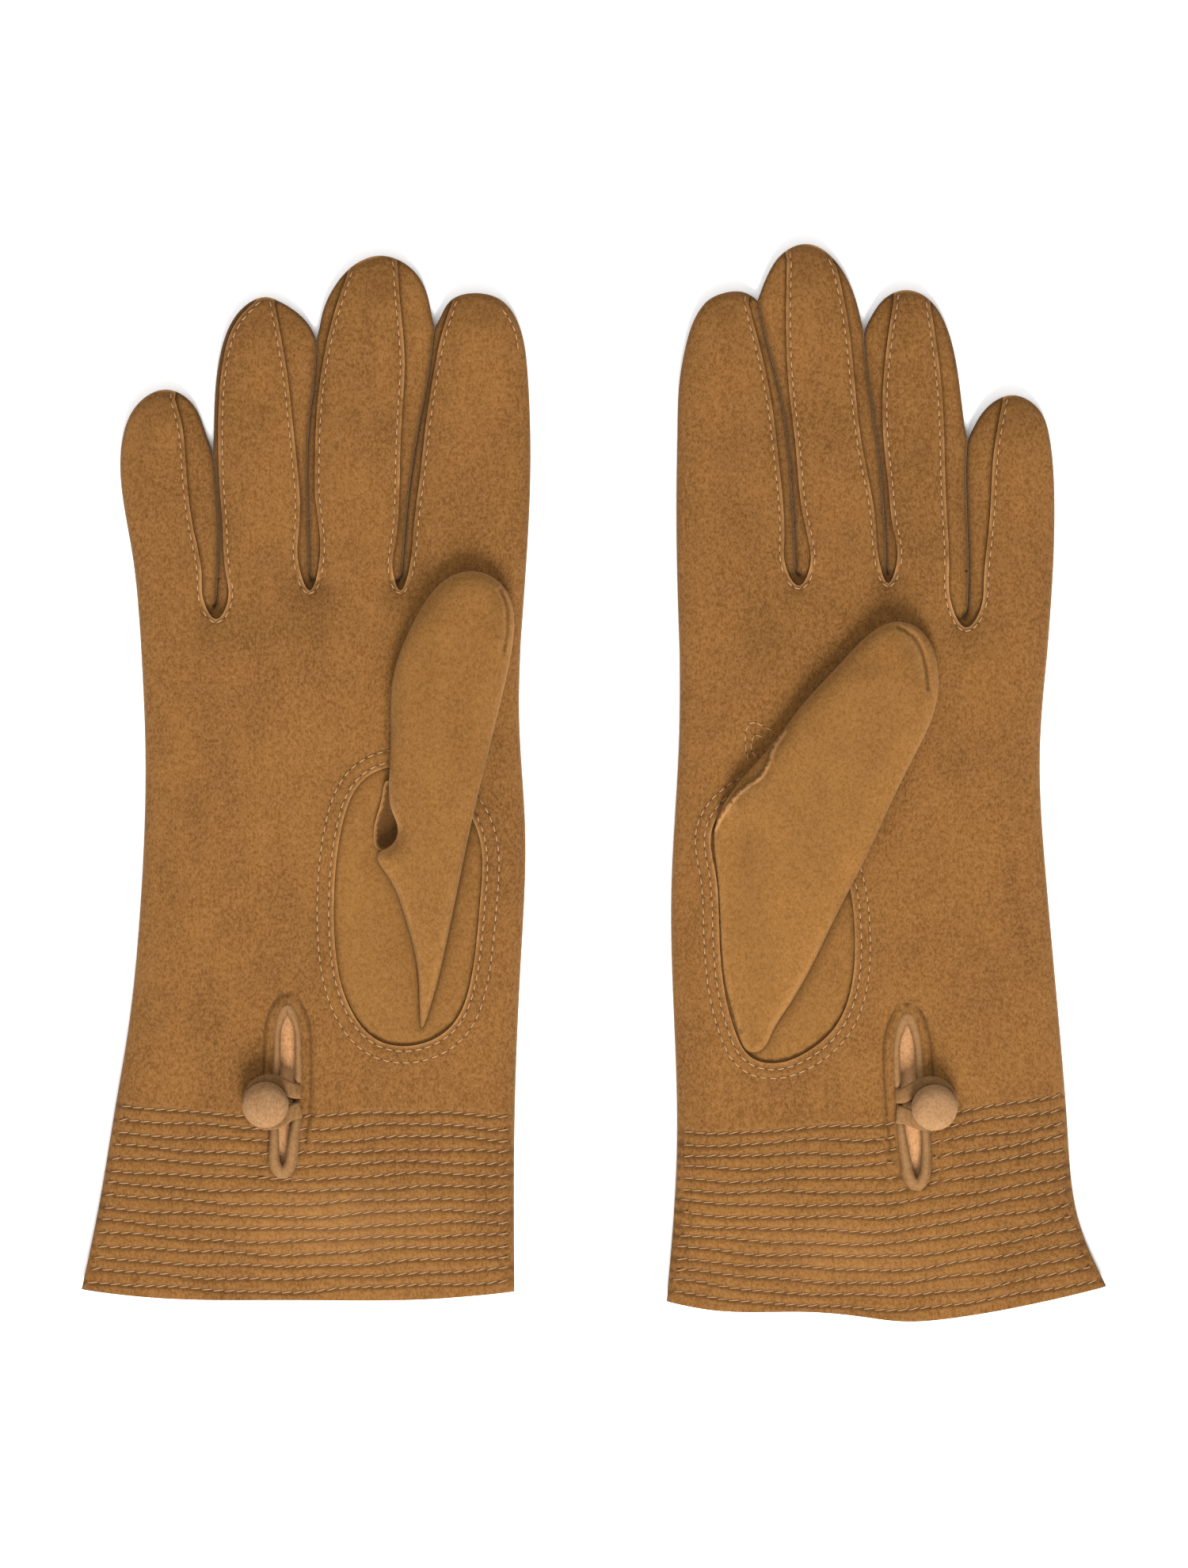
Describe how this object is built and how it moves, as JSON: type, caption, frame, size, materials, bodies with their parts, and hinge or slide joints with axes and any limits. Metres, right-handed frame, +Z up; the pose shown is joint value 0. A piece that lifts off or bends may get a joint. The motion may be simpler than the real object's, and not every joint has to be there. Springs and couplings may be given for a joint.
{
  "type": "pair of suede dress gloves",
  "caption": "Pair of wrist-length tan suede gloves lying flat, palms up, with a covered button and loop at the wrist slit and a row-stitched cuff.",
  "frame": {"origin": "middle of the pair, on the surface that the gloves lie on", "axes": "+X from the right hand's glove to the left hand's, +Y from the cuffs towards the fingertips, +Z up, out of the palms"},
  "size_m": [0.236, 0.2476, 0.0154],
  "materials": {
    "suede": "napped",
    "suede_lighter": "napped, finer",
    "inner_skin": "smooth",
    "binding_suede": "napped, rolled",
    "button_suede": "napped, stretched",
    "button_metal": "satin",
    "thread": "matt cotton"
  },
  "bodies": {
    "right_palm": {"right_palm_shell": "suede", "right_finger_quirks": "suede_lighter", "right_cuff_facing": "inner_skin", "right_thumb_base": "suede_lighter", "right_thumb_quirk": "suede_lighter", "right_slit_binding": "binding_suede", "right_button_thread": "thread"},
    "right_thumb": {"right_thumb_sleeve": "suede"},
    "right_loop": {"right_button_loop": "binding_suede"},
    "right_button": {"right_button_cover": "button_suede", "right_button_shell": "button_metal", "right_button_back": "button_metal"},
    "right_little": {"right_little_sleeve": "suede", "right_little_fourchette_index_side": "suede_lighter"},
    "right_ring": {"right_ring_sleeve": "suede", "right_ring_fourchette_little_side": "suede_lighter", "right_ring_fourchette_index_side": "suede_lighter"},
    "right_middle": {"right_middle_sleeve": "suede", "right_middle_fourchette_little_side": "suede_lighter", "right_middle_fourchette_index_side": "suede_lighter"},
    "right_index": {"right_index_sleeve": "suede", "right_index_fourchette_little_side": "suede_lighter"},
    "left_palm": {"left_palm_shell": "suede", "left_finger_quirks": "suede_lighter", "left_cuff_facing": "inner_skin", "left_thumb_base": "suede_lighter", "left_thumb_quirk": "suede_lighter", "left_slit_binding": "binding_suede", "left_button_thread": "thread"},
    "left_thumb": {"left_thumb_sleeve": "suede"},
    "left_loop": {"left_button_loop": "binding_suede"},
    "left_button": {"left_button_cover": "button_suede", "left_button_shell": "button_metal", "left_button_back": "button_metal"},
    "left_little": {"left_little_sleeve": "suede", "left_little_fourchette_index_side": "suede_lighter"},
    "left_ring": {"left_ring_sleeve": "suede", "left_ring_fourchette_little_side": "suede_lighter", "left_ring_fourchette_index_side": "suede_lighter"},
    "left_middle": {"left_middle_sleeve": "suede", "left_middle_fourchette_little_side": "suede_lighter", "left_middle_fourchette_index_side": "suede_lighter"},
    "left_index": {"left_index_sleeve": "suede", "left_index_fourchette_little_side": "suede_lighter"}
  },
  "joints": [
    {"name": "right_little_bend", "type": "hinge", "parent": "right_palm", "child": "right_little", "pos_m": [-0.09615, 0.0467, 0.008], "axis": [1, 0, 0], "range_deg": [0, 90]},
    {"name": "right_ring_bend", "type": "hinge", "parent": "right_palm", "child": "right_ring", "pos_m": [-0.0762, 0.0527, 0.008], "axis": [1, 0, 0], "range_deg": [0, 90]},
    {"name": "right_middle_bend", "type": "hinge", "parent": "right_palm", "child": "right_middle", "pos_m": [-0.0549, 0.0527, 0.008], "axis": [1, 0, 0], "range_deg": [0, 90]},
    {"name": "right_index_bend", "type": "hinge", "parent": "right_palm", "child": "right_index", "pos_m": [-0.03065, 0.0537, 0.008], "axis": [1, 0, 0], "range_deg": [0, 90]},
    {"name": "right_thumb_lift", "type": "hinge", "parent": "right_palm", "child": "right_thumb", "pos_m": [-0.0378, -0.0168, 0.0154], "axis": [0.9874, -0.1582, 0], "range_deg": [0, 90]},
    {"name": "right_loop_lift", "type": "hinge", "parent": "right_palm", "child": "right_loop", "pos_m": [-0.0684, -0.0733, 0.01065], "axis": [0, 1, 0], "range_deg": [0, 150]},
    {"name": "right_button_swivel", "type": "hinge", "parent": "right_palm", "child": "right_button", "pos_m": [-0.0751, -0.0733, 0.0099], "axis": [0, 0, 1], "range_deg": [-90, 90]},
    {"name": "left_little_bend", "type": "hinge", "parent": "left_palm", "child": "left_little", "pos_m": [0.09505, 0.0449, 0.008], "axis": [1, 0, 0], "range_deg": [0, 90]},
    {"name": "left_ring_bend", "type": "hinge", "parent": "left_palm", "child": "left_ring", "pos_m": [0.07645, 0.0554, 0.008], "axis": [1, 0, 0], "range_deg": [0, 90]},
    {"name": "left_middle_bend", "type": "hinge", "parent": "left_palm", "child": "left_middle", "pos_m": [0.0574, 0.0554, 0.008], "axis": [1, 0, 0], "range_deg": [0, 90]},
    {"name": "left_index_bend", "type": "hinge", "parent": "left_palm", "child": "left_index", "pos_m": [0.0333, 0.0549, 0.008], "axis": [1, 0, 0], "range_deg": [0, 90]},
    {"name": "left_thumb_lift", "type": "hinge", "parent": "left_palm", "child": "left_thumb", "pos_m": [0.041, -0.0192, 0.0154], "axis": [0.849, -0.5284, 0], "range_deg": [0, 90]},
    {"name": "left_loop_lift", "type": "hinge", "parent": "left_palm", "child": "left_loop", "pos_m": [0.0708, -0.0739, 0.01065], "axis": [0, -1, 0], "range_deg": [0, 150]},
    {"name": "left_button_swivel", "type": "hinge", "parent": "left_palm", "child": "left_button", "pos_m": [0.0778, -0.0739, 0.0099], "axis": [0, 0, 1], "range_deg": [-90, 90]},
    {"name": "left_glove_slide", "type": "slide", "parent": "right_palm", "child": "left_palm", "axis": [1, 0, 0], "range_m": [0, 0.1]}
  ]
}
